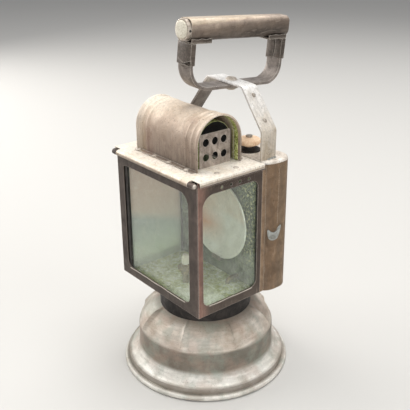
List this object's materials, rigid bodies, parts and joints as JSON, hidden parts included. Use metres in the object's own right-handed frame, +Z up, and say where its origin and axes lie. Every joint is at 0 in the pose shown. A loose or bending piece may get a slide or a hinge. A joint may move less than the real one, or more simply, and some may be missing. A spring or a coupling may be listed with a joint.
{
  "type": "carbide hand lamp",
  "caption": "Carbide railway hand lamp with windowed lantern, hinged roof and cowl, rear water tank, gas pot and swivelling handle",
  "frame": {"origin": "centre of the underside of the foot", "axes": "+Z up, -Y out of the front window, +X to the viewer's right when facing the front window"},
  "size_m": [0.156, 0.1613, 0.3217],
  "materials": {
    "weathered_tin": "dull weathered tinned sheet",
    "brown_patina": "brown patina on sheet metal",
    "olive_patina": "olive brown patina",
    "handle_metal": "handled dull sheet metal",
    "dull_steel": "dull steel",
    "black_iron": "blackened",
    "mossy_metal": "green with verdigris",
    "aged_brass": "aged",
    "reflector_metal": "tarnished reflector",
    "lead_solder": "blue-grey solder",
    "black_rubber": "perished rubber",
    "steatite": "matt white mineral",
    "knob_wood": "turned tan wood",
    "pale_wood": "cream wood",
    "pane_glass": "old greenish pane"
  },
  "bodies": {
    "pot": {"pot_shell": "weathered_tin", "foot_plate": "dull_steel", "pot_floor": "dull_steel", "bayonet_studs": "dull_steel", "neck_gasket": "black_rubber", "carbide_basket": "dull_steel", "basket_screen": "dull_steel"},
    "lantern": {"lantern_collar": "black_iron", "base_plate": "mossy_metal", "front_panel": "brown_patina", "left_panel": "brown_patina", "right_panel": "brown_patina", "back_panel": "brown_patina", "front_glass": "pane_glass", "left_glass": "pane_glass", "right_glass": "pane_glass", "front_channels": "black_iron", "side_channels": "black_iron", "gas_tube": "aged_brass", "burner_holder": "aged_brass", "burner_tip": "steatite", "reflector": "reflector_metal", "reflector_bracket": "dull_steel", "tank_shell": "olive_patina", "tank_floor": "olive_patina", "tank_cap": "weathered_tin", "filler_neck": "aged_brass", "valve_gland": "black_iron", "valve_seat": "aged_brass", "drip_tube": "aged_brass", "handle_bracket": "weathered_tin", "strap_solder": "lead_solder", "bracket_studs": "dull_steel", "swivel_rivet": "weathered_tin", "swivel_washer": "dull_steel", "hinge_pin": "dull_steel"},
    "lid": {"roof_plate": "weathered_tin", "cowl_barrel": "weathered_tin", "cowl_flue": "mossy_metal", "left_end_plate": "brown_patina", "right_end_plate": "brown_patina", "roof_rivets": "dull_steel"},
    "handle": {"handle_band": "handle_metal", "front_sheath": "handle_metal", "rear_sheath": "handle_metal", "grip_tube": "handle_metal", "grip_collar": "handle_metal", "grip_dowel": "pale_wood", "grip_nail": "black_iron"},
    "needle": {"valve_needle": "dull_steel"},
    "knob": {"valve_knob": "knob_wood", "knob_nut": "dull_steel"},
    "plug": {"filler_plug": "aged_brass"}
  },
  "joints": [
    {"name": "pot_twist", "type": "hinge", "parent": "pot", "child": "lantern", "pos_m": [0, 0, 0.07], "axis": [0, 0, 1], "range_deg": [0, 40]},
    {"name": "lid_hinge", "type": "hinge", "parent": "lantern", "child": "lid", "pos_m": [0, -0.0559, 0.2039], "axis": [1, 0, 0], "range_deg": [0, 105]},
    {"name": "handle_swivel", "type": "hinge", "parent": "lantern", "child": "handle", "pos_m": [0.0058, 0.0256, 0.2657], "axis": [0.0523, 0.0697, 0.9962], "range_deg": [-45, 45]},
    {"name": "needle_lift", "type": "slide", "parent": "lantern", "child": "needle", "axis": [0, 0, 1], "range_m": [0, 0.0015]},
    {"name": "knob_turn", "type": "hinge", "parent": "needle", "child": "knob", "pos_m": [0.0255, 0.02895, 0.216], "axis": [0, 0, 1], "range_deg": [0, 540]},
    {"name": "filler_plug_lift", "type": "slide", "parent": "lantern", "child": "plug", "axis": [0, 0, 1], "range_m": [0, 0.015]}
  ],
  "couplings": [
    {"joint": "knob_turn", "follows": "needle_lift", "rad_per_m": 6283.2}
  ]
}
